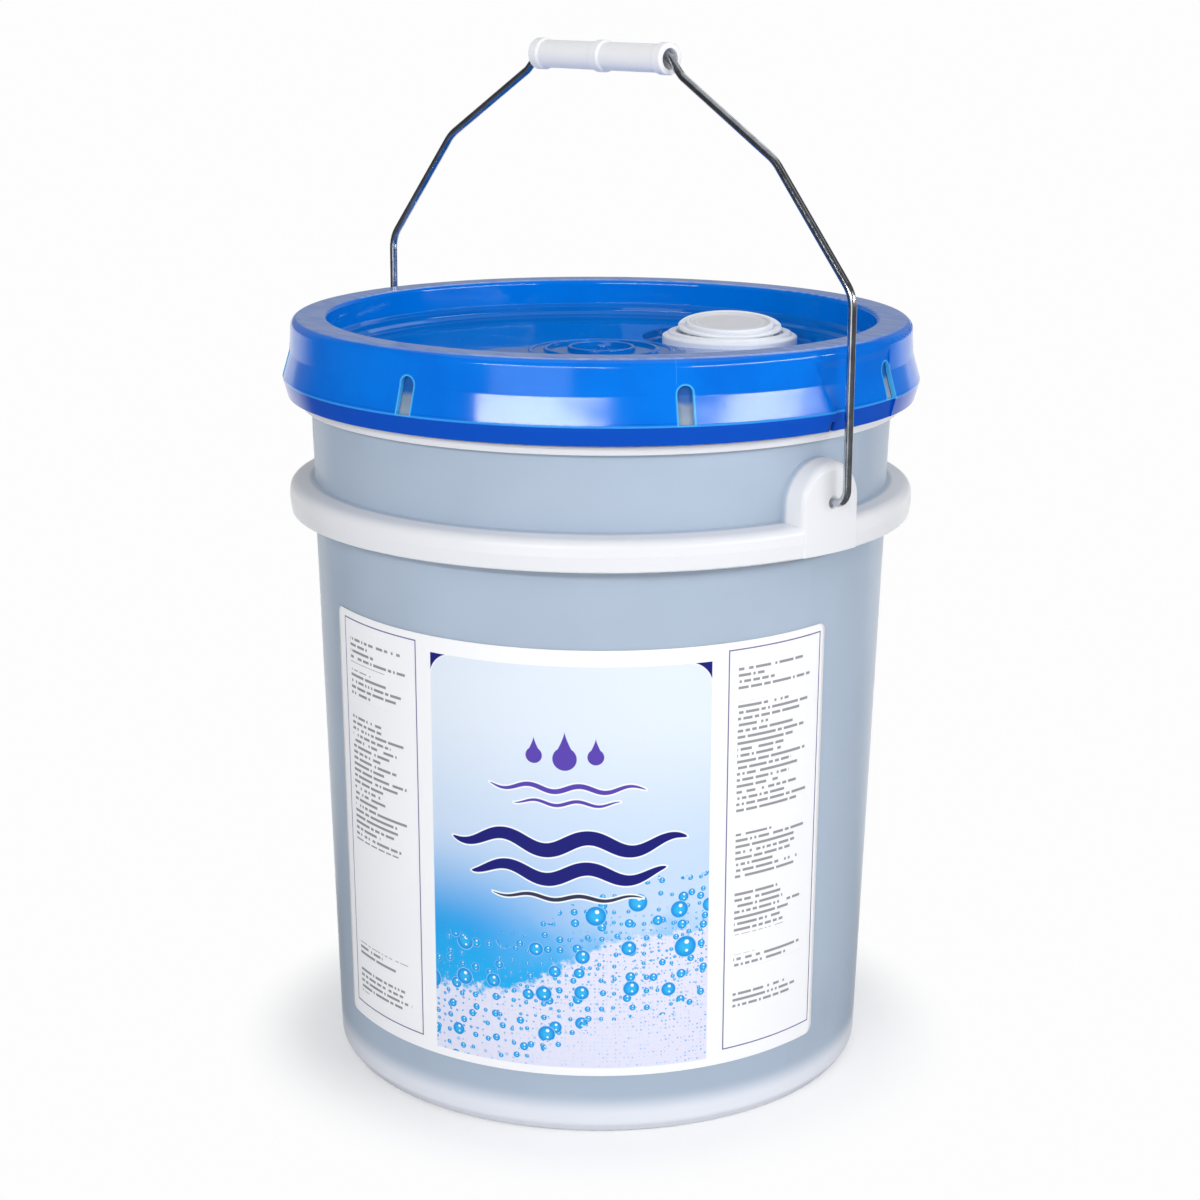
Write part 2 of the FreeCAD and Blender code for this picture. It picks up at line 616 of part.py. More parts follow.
def label():
    """Sheet cut with straight edges and wrapped on the cone: its ends rise with the draft."""
    label_top = LABEL_LOW + LABEL_H
    low, top = LABEL_LOW - 12, label_top + 12
    reach = degrees(LABEL_W / 2 / body_r(low)) + 15
    sheet = turned([
        (body_r(low) + GLUE, low, 0),
        (body_r(low) + GLUE + LABEL_T, low, 0),
        (body_r(top) + GLUE + LABEL_T, top, 0),
        (body_r(top) + GLUE, top, 0),
    ], 2 * reach, -reach)
    big = 4 * BASE_R
    for z, up in ((label_top, True), (LABEL_LOW, False)):
        box = Part.makeBox(big, big, 80, V(-big / 2, -big / 2, 0 if up else -80))
        box.rotate(V(0, 0, 0), V(0, 1, 0), degrees(atan(DRAFT)))
        box.translate(V(0, 0, z + DRAFT * body_r(z)))
        sheet = sheet.cut(box)
    for side in (1, -1):
        a_top = side * LABEL_W / 2 / body_r(label_top)
        a_low = side * LABEL_W / 2 / body_r(LABEL_LOW)
        p_top = V(body_r(label_top) * cos(a_top), body_r(label_top) * sin(a_top), label_top)
        p_low = V(body_r(LABEL_LOW) * cos(a_low), body_r(LABEL_LOW) * sin(a_low), LABEL_LOW)
        along = p_top.sub(p_low).normalize()
        middle = 0.5 * (a_top + a_low)
        radial = V(cos(middle), sin(middle), 0)
        outward = along.cross(radial).multiply(side).normalize()
        plane = Part.Face(Part.makePolygon([
            p_low.add(V(radial).multiply(s)).add(V(along).multiply(t))
            for s, t in ((-20, -60), (20, -60), (20, LABEL_H + 60), (-20, LABEL_H + 60), (-20, -60))]))
        sheet = sheet.cut(plane.extrude(outward.multiply(60)))
    sheet = sheet.Solids[0]
    corners = [e for e in sheet.Edges if e.Length < 2 * LABEL_T]
    return spin(sheet.makeFillet(LABEL_CORNER, corners), LABEL_MID)


def detergent():
    """The liquid, a little clear of the wall and the floor."""
    low = FLOOR_Z + AIR
    inner = WALL + AIR
    return turned([
        (0, low, 0),
        (body_r(low) - inner, low, 5.2),
        (min(neck_r(FILL_Z), body_r(FILL_Z)) - inner - 0.4, FILL_Z, 0),
        (0, FILL_Z, 0),
    ])


save("pail", pail())
save("lid", lid())
save("lid_gasket", gasket())
save("spout_flange", spout_at(flange()))
save("spout_bellows", spout_at(bellows()))
save("spout_neck", spout_at(lean(neck())))
save("cap_liner", spout_at(lean(liner())))
save("spout_cap", spout_at(lean(cap())))
save("pull_ring_front", spout_at(lean(pull_ring(-1))))
save("pull_ring_rear", spout_at(lean(pull_ring(1))))
save("bail_wire", bail())
save("grip", grip())
save("label", label())
save("detergent", detergent())
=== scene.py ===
# %% [markdown]
# A five-gallon pail of laundry detergent: a milky tub with a collar and two bail ears, a glossy blue
# lid with a pull-up spout, a sprung wire bail with a white grip, and a wrapped paper label.
#
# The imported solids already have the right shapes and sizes.  This lesson keeps most of them, gives
# each one the finish of the real material, and adds the pieces that carry print or fine relief.

# %% Load the frame
import math
import bpy
import bmesh
import numpy as np
from mathutils import Matrix


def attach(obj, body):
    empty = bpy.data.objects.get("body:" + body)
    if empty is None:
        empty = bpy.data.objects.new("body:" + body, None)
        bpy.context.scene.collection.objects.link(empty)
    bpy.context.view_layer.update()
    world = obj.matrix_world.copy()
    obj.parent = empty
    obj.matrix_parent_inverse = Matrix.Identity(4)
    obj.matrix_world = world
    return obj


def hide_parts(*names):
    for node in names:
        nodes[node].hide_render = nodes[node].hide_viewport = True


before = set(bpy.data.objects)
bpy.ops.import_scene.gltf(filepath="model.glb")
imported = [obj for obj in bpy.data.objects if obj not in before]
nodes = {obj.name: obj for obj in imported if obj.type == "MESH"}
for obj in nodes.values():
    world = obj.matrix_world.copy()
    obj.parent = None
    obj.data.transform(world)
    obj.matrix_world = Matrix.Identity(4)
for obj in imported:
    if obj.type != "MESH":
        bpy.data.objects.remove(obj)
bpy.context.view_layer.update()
scene = bpy.context.scene

# %% [markdown]
# The sizes below are the ones that the looks need: where the wall is, where the label lies and where
# the spout stands.  They are in metres, in the same frame as the solids.

# %% Sizes shared by the pieces
DRAFT = 0.029
WALL_AT_FLOOR = 0.1358        # outside radius of the wall carried down to the floor
NECK_STEP = 0.0006            # the wall above the collar is set in by this
LABEL_MID = math.radians(-50.6)
LABEL_WIDE = 0.276
LABEL_LOW = 0.031
LABEL_HIGH = 0.2134
LABEL_CORNER = 0.004
LABEL_OFF = 0.00052           # glue and paper
LABEL_PAPER = 0.0002
SPOUT = (0.0110, 0.0814, 0.3636)
SPOUT_LEAN = (0.0569, -0.0540, 0.9969)
RIM_TOP = 0.380
GRIP_MIDDLE = 0.5054


def wall_radius(z):
    """Outside radius of the tub's wall: it grows evenly with height."""
    return WALL_AT_FLOOR + DRAFT * z


# %% [markdown]
# The camera stands where the photographer stood.  Its place, its lens and its small roll were worked
# out from the ellipses of the rim, the collar and the foot.  The view is square, 1200 by 1200.

# %% Camera
CAMERA_AZIMUTH = math.radians(46.5)
CAMERA_REACH = 1.25066        # from the pail's axis
CAMERA_HIGH = 0.54859
CAMERA_DOWN = 0.24779         # radians below level
CAMERA_ROLL = -0.0055
FOCAL_PIXELS = 2512.17
FRAME_PIXELS = 1200
SENSOR = 36.0


def aim_camera():
    """Right, up and back axes from azimuth, pitch and roll, put in the columns of the matrix."""
    s, c = math.sin(CAMERA_AZIMUTH), math.cos(CAMERA_AZIMUTH)
    ahead = np.array([-s * math.cos(CAMERA_DOWN), c * math.cos(CAMERA_DOWN), -math.sin(CAMERA_DOWN)])
    right = np.array([c, s, 0.0])
    up = np.cross(right, ahead)
    cr, sr = math.cos(CAMERA_ROLL), math.sin(CAMERA_ROLL)
    matrix = np.eye(4)
    matrix[:3, 0] = cr * right - sr * up
    matrix[:3, 1] = sr * right + cr * up
    matrix[:3, 2] = -ahead
    matrix[:3, 3] = (s * CAMERA_REACH, -c * CAMERA_REACH, CAMERA_HIGH)
    data = bpy.data.cameras.new("camera")
    data.sensor_width = SENSOR
    data.lens = SENSOR * FOCAL_PIXELS / FRAME_PIXELS
    data.clip_start, data.clip_end = 0.01, 100.0
    camera = bpy.data.objects.new("camera", data)
    scene.collection.objects.link(camera)
    camera.matrix_world = Matrix(matrix.tolist())
    scene.camera = camera
    print("camera lens %.1f mm" % data.lens)


aim_camera()
scene.view_settings.view_transform = "Standard"

# %% [markdown]
# Colours are easiest to judge as the screen shows them, in steps of 0 to 255, while a shader wants
# linear light.  One small function changes the first into the second.
#
# A material is a chain of nodes.  The class below starts one with a Principled shader and has a short
# word for each node that the finishes need: arithmetic, a soft step, a mix of two colours, noise and
# bump.  Values that are the same everywhere go straight on to the shader's own sockets.

# %% Helpers for colours and materials
def tone(red, green, blue):
    """Screen colour to linear light: c / 12.92 when dark, else ((c + 0.055) / 1.055) to the 2.4."""
    c = np.array([red, green, blue]) / 255.0
    linear = np.where(c <= 0.04045, c / 12.92, ((c + 0.055) / 1.055) ** 2.4)
    return (*[float(v) for v in linear], 1.0)


class Finish:
    """A material in the making, with short words for its nodes."""

    def __init__(self, name, **sockets):
        self.material = bpy.data.materials.new(name)
        self.material.use_nodes = True
        self.tree = self.material.node_tree
        self.shader = self.tree.nodes["Principled BSDF"]
        for socket, value in sockets.items():
            self.shader.inputs[socket.replace("_", " ")].default_value = value

    def put(self, socket, value):
        """Link a socket to another, or set it to a plain value."""
        if isinstance(value, bpy.types.NodeSocket):
            self.tree.links.new(value, socket)
        elif value is not None:
            socket.default_value = value

    def node(self, kind, out=0, settings=None, **inputs):
        made = self.tree.nodes.new("ShaderNode" + kind)
        for key, value in (settings or {}).items():
            setattr(made, key, value)
        for key, value in inputs.items():
            self.put(made.inputs[key.replace("_", " ")], value)
        return made.outputs[out]

    def math(self, operation, a, b=None, c=None, clamp=False):
        made = self.tree.nodes.new("ShaderNodeMath")
        made.operation, made.use_clamp = operation, clamp
        for socket, value in zip(made.inputs, (a, b, c)):
            self.put(socket, value)
        return made.outputs[0]

    def vector(self, operation, a, b=None, out=0):
        made = self.tree.nodes.new("ShaderNodeVectorMath")
        made.operation = operation
        self.put(made.inputs[0], a)
        self.put(made.inputs[1], b)
        return made.outputs[out]

    def step(self, value, low, high):
        """0 below low and 1 above high, or the reverse when low is the larger, soft between them."""
        rising = low <= high
        return self.node("MapRange", settings={"interpolation_type": "SMOOTHSTEP"}, Value=value,
                         From_Min=min(low, high), From_Max=max(low, high),
                         To_Min=0.0 if rising else 1.0, To_Max=1.0 if rising else 0.0)

    def mix(self, factor, a, b):
        """Colour a where the factor is 0 and b where it is 1."""
        made = self.tree.nodes.new("ShaderNodeMix")
        made.data_type = "RGBA"
        self.put(made.inputs[0], factor)
        self.put(made.inputs[6], a)
        self.put(made.inputs[7], b)
        return made.outputs[2]

    def place(self):
        """Object coordinates, and their x, y and z."""
        spot = self.node("TexCoord", out=3)
        split = self.tree.nodes.new("ShaderNodeSeparateXYZ")
        self.put(split.inputs[0], spot)
        return spot, split.outputs[0], split.outputs[1], split.outputs[2]

    def noise(self, where, scale, detail=2.0, roughness=0.5):
        return self.node("TexNoise", Vector=where, Scale=scale, Detail=detail, Roughness=roughness)

    def colour(self, value):
        self.put(self.shader.inputs["Base Color"], value)

    def rough(self, value):
        self.put(self.shader.inputs["Roughness"], value)

    def bump(self, height, distance, strength=1.0, below=None):
        """Relief from a height of 0 to 1, distance metres deep."""
        made = self.node("Bump", Height=height, Distance=distance, Strength=strength, Normal=below)
        self.put(self.shader.inputs["Normal"], made)
        return made


def dress(name, finish):
    """Give a solid of the frame its finish."""
    nodes[name].data.materials.clear()
    nodes[name].data.materials.append(finish.material)


# %% [markdown]
# New pieces are grids of points.  A grid has rows and columns; it is closed round itself where the
# piece is a ring.  The whole array goes into the mesh at once, without a loop over its points.

# %% Helper for grids
def grid_piece(name, points, finish, body, wrap_rows=False, wrap_columns=False, uv=None,
               smooth=True):
    """Mesh from an array of rows x columns x 3.  Each face joins four neighbours of the grid."""
    rows, columns = points.shape[:2]
    i = np.arange(rows if wrap_rows else rows - 1)[:, None]
    j = np.arange(columns if wrap_columns else columns - 1)[None, :]
    i2, j2 = (i + 1) % rows, (j + 1) % columns
    faces = np.stack([i * columns + j, i * columns + j2, i2 * columns + j2, i2 * columns + j], -1)
    faces = faces.reshape(-1, 4)
    mesh = bpy.data.meshes.new(name)
    mesh.from_pydata(points.reshape(-1, 3).tolist(), [], faces.tolist())
    mesh.polygons.foreach_set("use_smooth", np.full(len(faces), smooth))
    if uv is not None:
        layer = mesh.uv_layers.new(name="sheet")
        layer.data.foreach_set("uv", uv.reshape(-1, 2)[faces.reshape(-1)].reshape(-1).astype(np.float32))
    mesh.materials.append(finish.material)
    mesh.update()
    piece = bpy.data.objects.new(name, mesh)
    scene.collection.objects.link(piece)
    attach(piece, body)
    print("%s: %d faces" % (name, len(faces)))
    return piece


def turned_points(profile, centre=(0.0, 0.0), turns=96):
    """Closed profile of (radius, z) carried round an upright axis: x = r cos a, y = r sin a."""
    profile = np.array(profile)
    a = np.linspace(0, 2 * np.pi, turns, endpoint=False)[:, None]
    x = centre[0] + profile[None, :, 0] * np.cos(a)
    y = centre[1] + profile[None, :, 0] * np.sin(a)
    return np.stack([x, y, np.broadcast_to(profile[None, :, 1], x.shape)], -1)


# %% [markdown]
# The studio is a white room.  The floor is a wide disc that keeps the soft shadow near the foot and
# turns to plain white further out, so that no horizon shows.  The pale background is the colour of
# the floor and of the sky as the camera sees them, and adds no light to the pail.

# %% Floor
FLOOR_RADIUS = 60.0
FLOOR_ALBEDO = 0.86
FLOOR_GLOW = 0.985
FLOOR_LIFT = 0.15
FLOOR_HIDDEN = 0.85           # share of the floor in front that glossy rays do not see
FACING = (math.sin(CAMERA_AZIMUTH), -math.cos(CAMERA_AZIMUTH), 0.0)   # from the pail to the camera


def make_floor():
    """Disc whose rings widen outwards: radius = 0.02 + 60 t^4."""
    t = np.linspace(0, 1, 40)[:, None]
    a = np.linspace(0, 2 * np.pi, 72, endpoint=False)[None, :]
    r = 0.0005 + FLOOR_RADIUS * t ** 4
    points = np.stack([r * np.cos(a), r * np.sin(a), np.zeros_like(r * a)], -1)
    mesh = bpy.data.meshes.new("floor")
    rows, columns = points.shape[:2]
    i = np.arange(rows - 1)[:, None]
    j = np.arange(columns)[None, :]
    j2 = (j + 1) % columns
    faces = np.stack([i * columns + j, (i + 1) * columns + j, (i + 1) * columns + j2, i * columns + j2], -1)
    mesh.from_pydata(points.reshape(-1, 3).tolist(), [], faces.reshape(-1, 4).tolist())
    finish = Finish("studio_floor", Roughness=0.9)
    tree = finish.tree
    finish.shader.inputs["Base Color"].default_value = (FLOOR_ALBEDO,) * 3 + (1.0,)
    finish.shader.inputs["Specular IOR Level"].default_value = 0.0
    spot, x, y, z = finish.place()
    away = finish.math("SQRT", finish.math("ADD", finish.math("MULTIPLY", x, x), finish.math("MULTIPLY", y, y)))
    far = finish.step(away, 0.138, 0.195)
    ray = tree.nodes.new("ShaderNodeLightPath")
    facing = finish.math("DIVIDE", finish.vector("DOT_PRODUCT", spot, FACING, out=1), away)
    behind = finish.step(facing, -0.55, -0.85)
    seen = finish.math("MULTIPLY", ray.outputs["Is Glossy Ray"], behind)
    seen = finish.math("MAXIMUM", ray.outputs["Is Camera Ray"], seen)
    seen = finish.math("MAXIMUM", seen, ray.outputs["Is Transmission Ray"])
    hidden = finish.math("MULTIPLY", ray.outputs["Is Glossy Ray"], finish.math("SUBTRACT", 1.0, behind))
    white = finish.node("Emission", Color=(1, 1, 1, 1), Strength=FLOOR_GLOW)
    dark = finish.node("Emission", Color=(1, 1, 1, 1), Strength=0.0)
    lift = finish.node("Emission", Color=(1, 1, 1, 1), Strength=finish.math("MULTIPLY", seen, FLOOR_LIFT))
    near = tree.nodes.new("ShaderNodeAddShader")
    finish.put(near.inputs[0], finish.shader.outputs[0])
    finish.put(near.inputs[1], lift)
    dimmed = tree.nodes.new("ShaderNodeMixShader")
    finish.put(dimmed.inputs[0], finish.math("MULTIPLY", hidden, FLOOR_HIDDEN))
    finish.put(dimmed.inputs[1], near.outputs[0])
    finish.put(dimmed.inputs[2], dark)
    both = tree.nodes.new("ShaderNodeMixShader")
    finish.put(both.inputs[0], finish.math("MULTIPLY", far, seen))
    finish.put(both.inputs[1], dimmed.outputs[0])
    finish.put(both.inputs[2], white)
    finish.put(tree.nodes["Material Output"].inputs["Surface"], both.outputs[0])
    mesh.materials.append(finish.material)
    floor = bpy.data.objects.new("floor", mesh)
    scene.collection.objects.link(floor)


make_floor()

# %% [markdown]
# Two tall soft boxes stand in front, left and right of the camera.  They are what the glossy lid
# shows as two bright patches.  A wide lamp overhead gives the soft shadow under the pail.

# %% Lamps and sky
def soft_box(name, azimuth, distance, height, wide, tall, watts, target=(0, 0, 0.3)):
    """Area lamp at a camera-relative azimuth, turned so that its -Z looks at the target."""
    a = CAMERA_AZIMUTH + math.radians(azimuth)
    data = bpy.data.lights.new(name, "AREA")
    data.shape = "RECTANGLE"
    data.size, data.size_y, data.energy = wide, tall, watts
    lamp = bpy.data.objects.new(name, data)
    scene.collection.objects.link(lamp)
    place = np.array([distance * math.sin(a), -distance * math.cos(a), height])
    back = place - np.array(target)
    back = back / np.linalg.norm(back)
    side = np.cross([0, 0, 1], back)
    side = side / np.linalg.norm(side)
    matrix = np.eye(4)
    matrix[:3, 0], matrix[:3, 1], matrix[:3, 2], matrix[:3, 3] = side, np.cross(back, side), back, place
    lamp.matrix_world = Matrix(matrix.tolist())
    return lamp


ROOM_DIFFUSE = 0.39
ROOM_GLOSSY = 0.05
WALL_GLOSSY = 0.32            # the white wall at the back as the glossy pieces see it
soft_box("front_left_box", -20, 2.0, 1.10, 1.75, 0.125, 17)
soft_box("front_left_low", -24, 2.0, 0.45, 1.00, 0.90, 4)
soft_box("front_right_box", 60, 2.0, 0.99, 2.20, 0.16, 20)
soft_box("overhead", 180, 0.35, 2.2, 2.4, 2.4, 8.5, target=(0, 0, 0))
soft_box("back_wall_lamp", 165, 2.2, 2.3, 2.2, 1.2, 8)


def make_sky():
    """White to the camera.  Diffuse rays find an even, dim room; glossy rays find it dark, with a
    white wall at the back."""
    world = bpy.data.worlds.new("studio_room")
    world.use_nodes = True
    scene.world = world
    tree = world.node_tree
    tree.nodes.clear()
    new, link = tree.nodes.new, tree.links.new

    def joined(kind, operation, *values):
        made = new(kind)
        made.operation = operation
        for socket, value in zip(made.inputs, values):
            if isinstance(value, bpy.types.NodeSocket):
                link(value, socket)
            else:
                socket.default_value = value
        return made.outputs["Value"]

    def ramp(value, low, high, start, end):
        made = new("ShaderNodeMapRange")
        made.interpolation_type = "SMOOTHSTEP"
        link(value, made.inputs["Value"])
        for name, number in (("From Min", low), ("From Max", high), ("To Min", start), ("To Max", end)):
            made.inputs[name].default_value = number
        return made.outputs[0]

    ray = new("ShaderNodeLightPath")
    where = new("ShaderNodeTexCoord").outputs["Generated"]
    facing = joined("ShaderNodeVectorMath", "DOT_PRODUCT", where, FACING)
    back_wall = ramp(facing, -0.85, -0.5, 1.0, 0.0)
    glossy = joined("ShaderNodeMath", "MULTIPLY_ADD", back_wall, WALL_GLOSSY - ROOM_GLOSSY, ROOM_GLOSSY)
    level = new("ShaderNodeMix")
    level.inputs[2].default_value = ROOM_DIFFUSE
    link(ray.outputs["Is Glossy Ray"], level.inputs[0])
    link(glossy, level.inputs[3])
    room, white, mix = new("ShaderNodeBackground"), new("ShaderNodeBackground"), new("ShaderNodeMixShader")
    link(level.outputs[0], room.inputs["Strength"])
    room.inputs["Color"].default_value = (0.96, 0.98, 1.0, 1.0)
    white.inputs["Color"].default_value = (1, 1, 1, 1)
    white.inputs["Strength"].default_value = FLOOR_GLOW
    link(joined("ShaderNodeMath", "MAXIMUM", ray.outputs["Is Camera Ray"], ray.outputs["Is Transmission Ray"]),
         mix.inputs[0])
    link(room.outputs[0], mix.inputs[1])
    link(white.outputs[0], mix.inputs[2])
    link(mix.outputs[0], new("ShaderNodeOutputWorld").inputs["Surface"])


make_sky()

# %% [markdown]
# The tub is natural polyethylene, milky and a little see-through.  Where liquid stands behind the
# wall, it looks blue-grey; the collar, the ears, the lip and the foot have air behind them and look
# white.  The colour therefore follows how far a point stands out from the wall, and its height.

# %% Milky plastic of the tub
LIQUID_TONE = tone(176, 191, 209)
WHITE_TONE = tone(230, 231, 235)
FOOT_TONE = tone(228, 231, 240)


def milky_plastic():
    finish = Finish("milky_plastic", Roughness=0.34, IOR=1.53, Coat_Weight=0.25,
                    Coat_Roughness=0.15, Specular_IOR_Level=0.4)
    spot, x, y, z = finish.place()
    radius = finish.math("SQRT", finish.math("ADD", finish.math("MULTIPLY", x, x), finish.math("MULTIPLY", y, y)))
    proud = finish.math("SUBTRACT", radius, finish.math("MULTIPLY_ADD", z, DRAFT, WALL_AT_FLOOR))
    cloud = finish.noise(spot, 9.0, 3.0)
    liquid = finish.mix(finish.step(cloud, 0.35, 0.68), LIQUID_TONE, tone(168, 183, 201))
    filled = finish.mix(finish.step(z, 0.021, 0.010), liquid, FOOT_TONE)
    wall = finish.mix(finish.step(z, 0.3400, 0.3425), filled, WHITE_TONE)
    colour = finish.mix(finish.step(proud, 0.0004, 0.0032), wall, WHITE_TONE)
    finish.colour(colour)
    fine = finish.noise(spot, 420.0, 3.0)
    finish.rough(finish.node("MapRange", Value=fine, From_Min=0.3, From_Max=0.7, To_Min=0.40, To_Max=0.50))
    finish.bump(finish.noise(spot, 14.0, 2.0), 0.0012, 0.5, below=finish.node("Bump", Height=fine, Distance=0.00003))
    finish.shader.inputs["Sheen Weight"].default_value = 0.9
    finish.shader.inputs["Sheen Roughness"].default_value = 0.15
    return finish


dress("pail", milky_plastic())

# %% [markdown]
# The lid is the same kind of plastic, coloured right through and moulded with a high gloss.  Its
# surface is never quite flat: a slow waviness pulls the reflections of the lamps a little out of
# shape, and handling leaves small dull specks.

# %% Blue gloss of the lid
SLOTS = np.radians([-125.0, -77.9, -29.6, 16.6, 60.28, 103.96, 147.64, 191.32])
SLOT_HALF = 0.0037
SLOT_LOW = 0.3509
SLOT_HIGH = 0.3682
SKIRT_MIDDLE = 0.156          # radius at which the slots' width is counted
PARTING = math.radians(-31.1)


def blue_gloss():
    """Plastic that lets light through: the flared band is a lighter blue, the panel a deeper teal, and
    the lower lip darker as painted shade.  Painted highlights lie on the upper inner wall, on the crease
    beside a thin painted shade line, on the parting line and on the cut edges of the slots; the top of
    the rim carries a painted pale sheen in streaks."""
    finish = Finish("blue_gloss", Roughness=0.14, IOR=1.53, Specular_IOR_Level=0.42,
                    Specular_Tint=(0.95, 0.98, 1.0, 1.0))
    spot, x, y, z = finish.place()
    radius = finish.math("SQRT", finish.math("ADD", finish.math("MULTIPLY", x, x), finish.math("MULTIPLY", y, y)))
    outside = finish.step(radius, 0.1495, 0.1505)
    mottle = finish.step(finish.noise(spot, 30.0, 3.0), 0.3, 0.7)
    band = finish.mix(mottle, tone(0, 107, 216), tone(0, 117, 227))
    panel = finish.mix(mottle, tone(0, 105, 196), tone(0, 111, 204))
    # Above the ledge the inner wall is a lighter blue: a painted highlight of the lamps.
    panel = finish.mix(finish.step(z, 0.3660, 0.3685), panel, tone(0, 126, 226))
    body = finish.mix(finish.step(radius, 0.134, 0.139), panel, band)
    # The lower lip is a darker blue: painted shade on its downward face.
    lip_painted_shade = finish.math("MULTIPLY", outside, finish.step(z, 0.3508, 0.3500))
    body = finish.mix(lip_painted_shade, body, tone(0, 76, 188))
    # Two thin lines at the crease: the light one is a painted highlight, the dark one above it painted shade.
    for low, high, colour, share in ((0.3500, 0.3513, tone(70, 170, 242), 0.55), (0.3517, 0.3522, tone(0, 66, 176), 0.7)):
        line = finish.math("MULTIPLY", finish.step(z, low, low + 0.0003), finish.step(z, high, high - 0.0003))
        body = finish.mix(finish.math("MULTIPLY", finish.math("MULTIPLY", line, outside), share), body, colour)
    # The top of the rim gets a pale, streaky colour: a painted sheen, the reflection of the room.
    streaks = finish.step(finish.noise(finish.node("Mapping", Vector=spot, Scale=(60.0, 260.0, 60.0)), 1.0, 3.0), 0.3, 0.7)
    rim_painted_sheen = finish.math("MULTIPLY_ADD", streaks, 0.30, 0.30)
    body = finish.mix(finish.math("MULTIPLY", finish.step(z, RIM_TOP - 0.0007, RIM_TOP - 0.0002), rim_painted_sheen), body,
                      tone(168, 184, 218))
    turn = finish.math("ARCTAN2", y, x)

    def along_from(angle):
        """Distance round the skirt from a line at this angle."""
        off = finish.math("WRAP", finish.math("SUBTRACT", turn, float(angle)), math.pi, -math.pi)
        return finish.math("MULTIPLY", finish.math("ABSOLUTE", off), SKIRT_MIDDLE)

    nearest = along_from(SLOTS[0])
    for slot in SLOTS[1:]:
        nearest = finish.math("MINIMUM", nearest, along_from(slot))
    above = finish.math("MAXIMUM", finish.math("SUBTRACT", z, SLOT_HIGH - SLOT_HALF), 0.0)
    from_slot = finish.math("SQRT", finish.math("ADD", finish.math("MULTIPLY", nearest, nearest),
                                                finish.math("MULTIPLY", above, above)))
    # The cut edges of the slots are painted a lighter blue: a painted highlight along the edges.
    edge = finish.math("MULTIPLY", finish.step(from_slot, SLOT_HALF + 0.0011, SLOT_HALF + 0.0003),
                       finish.step(z, SLOT_LOW - 0.0006, SLOT_LOW - 0.0001))
    body = finish.mix(finish.math("MULTIPLY", finish.math("MULTIPLY", edge, outside), 0.8), body, tone(84, 190, 246))
    # The parting line near a slot is a thin lighter line: a painted highlight along its ridge.
    parting = finish.math("MULTIPLY", finish.step(along_from(PARTING), 0.0004, 0.0001), finish.step(z, 0.3680, 0.3690))
    finish.colour(finish.mix(finish.math("MULTIPLY", parting, finish.math("MULTIPLY", outside, 0.35)), body, tone(60, 160, 242)))
    scuff = finish.step(finish.noise(spot, 240.0, 4.0, 0.6), 0.66, 0.74)
    skirt = finish.step(radius, 0.139, 0.141)
    finish.rough(finish.node("MapRange", Value=scuff, To_Min=finish.math("MULTIPLY_ADD", skirt, 0.06, 0.07),
                             To_Max=0.26))
    finish.bump(finish.noise(spot, 22.0, 2.0), 0.0012, 0.35)
    return finish


lid_finish = blue_gloss()
dress("lid", lid_finish)

# %% [markdown]
# Each slot in the skirt is open.  A thin curved tab just inside the skirt fills it with painted light
# and shade: in the upper half the blue of the lid's snap edge, darkened as painted shade, and in the
# lower half a pale blue-grey, a painted glow of the pail's wall, darker upwards as painted shade.

# %% Backs of the slots
def slot_back_finish():
    finish = Finish("slot_back", Roughness=0.35, IOR=1.5)
    spot, x, y, z = finish.place()
    ragged = finish.math("MULTIPLY_ADD", finish.noise(spot, 160.0, 2.0), 0.004, z)
    # Upper half: the lid's blue darkened as painted shade.  Lower half: a painted pale glow of the pail's wall, darker
    # upwards as painted shade.
    lug_and_painted_shade = finish.step(ragged, 0.3604, 0.3634)
    wall_painted_glow = finish.mix(finish.step(z, 0.3515, 0.3570), tone(150, 163, 178), tone(130, 147, 168))
    finish.colour(finish.mix(lug_and_painted_shade, wall_painted_glow, tone(20, 92, 168)))
    return finish


def slot_backs():
    """Inside face of the skirt, r = 156.6 mm at the crease to 152.4 mm above, a hair inwards."""
    z = np.array([0.3500, 0.3509, 0.3550, 0.3590, 0.3636, 0.3660, 0.3695])
    inner = np.interp(z, [0.3509, 0.3636, 0.3776], [0.15662, 0.15284, 0.15204]) - 0.00025
    across = np.linspace(-1, 1, 7) * (SLOT_HALF + 0.0014) / SKIRT_MIDDLE
    angle = across[None, :] + SLOTS[:, None]
    r = np.broadcast_to(inner[None, :, None], (len(SLOTS), len(z), len(across)))
    a = angle[:, None, :]
    points = np.stack([r * np.cos(a), r * np.sin(a), np.broadcast_to(z[None, :, None], r.shape)], -1)
    rows, columns = len(z), len(across)
    i, j = np.meshgrid(np.arange(rows - 1), np.arange(columns - 1), indexing="ij")
    quad = np.stack([i * columns + j, i * columns + j + 1, (i + 1) * columns + j + 1, (i + 1) * columns + j], -1)
    faces = quad.reshape(1, -1, 4) + rows * columns * np.arange(len(SLOTS))[:, None, None]
    mesh = bpy.data.meshes.new("slot_backs")
    mesh.from_pydata(points.reshape(-1, 3).tolist(), [], faces.reshape(-1, 4).tolist())
    mesh.materials.append(slot_back_finish().material)
    piece = bpy.data.objects.new("slot_backs", mesh)
    scene.collection.objects.link(piece)
    skin = piece.modifiers.new("skin", "SOLIDIFY")
    skin.thickness, skin.offset = 0.0002, -1.0
    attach(piece, "lid")


slot_backs()

# %% [markdown]
# Two small nubs stand beside the moulding gate in the middle of the panel's rings.

# %% Nubs by the gate
PANEL_TOP = 0.3614
NUB_R = 0.0009
NUB_SPOTS = ((-0.0024, 0.0026), (0.0026, 0.0022))


